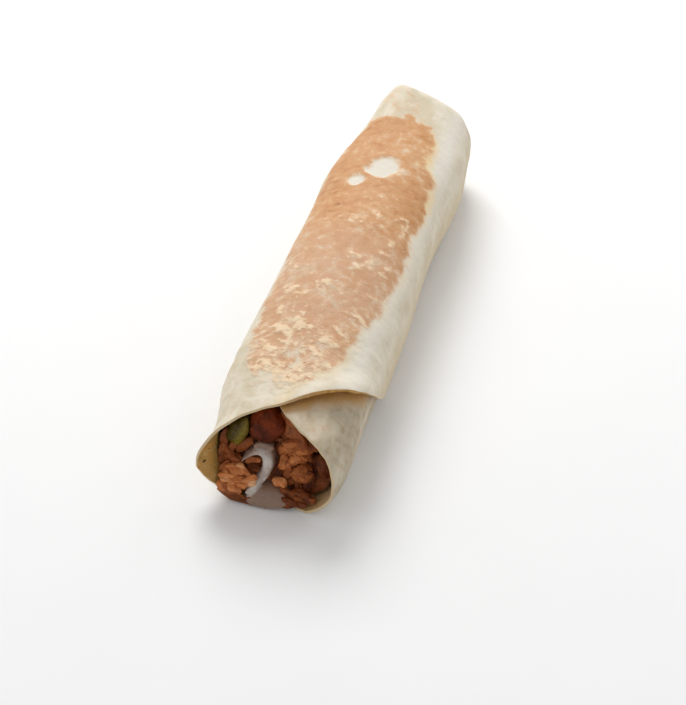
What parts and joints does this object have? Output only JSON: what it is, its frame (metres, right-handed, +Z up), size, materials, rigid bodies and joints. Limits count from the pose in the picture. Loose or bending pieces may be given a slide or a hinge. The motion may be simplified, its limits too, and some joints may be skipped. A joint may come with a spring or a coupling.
{
  "type": "shawarma wrap",
  "caption": "Griddled flatbread rolled about chicken, garlic sauce, tomato and pickle, open at one end and tucked shut at the other.",
  "frame": {"origin": "middle of the wrap's outline seen from above, on the surface it lies on", "axes": "+Y from the open mouth to the tucked tail, +Z up, +X to the right seen from the mouth"},
  "size_m": [0.0576, 0.2128, 0.0457],
  "materials": {
    "flatbread": "matt griddled wheat bread, cream with light brown patches",
    "chicken": "moist roasted meat, orange brown",
    "garlic_sauce": "glossy off-white cream",
    "tomato": "wet dark red",
    "pickle": "wet olive green"
  },
  "bodies": {
    "root": {"flatbread": "flatbread", "chicken": "chicken", "garlic_sauce": "garlic_sauce", "tomato": "tomato", "pickle": "pickle"}
  },
  "joints": []
}
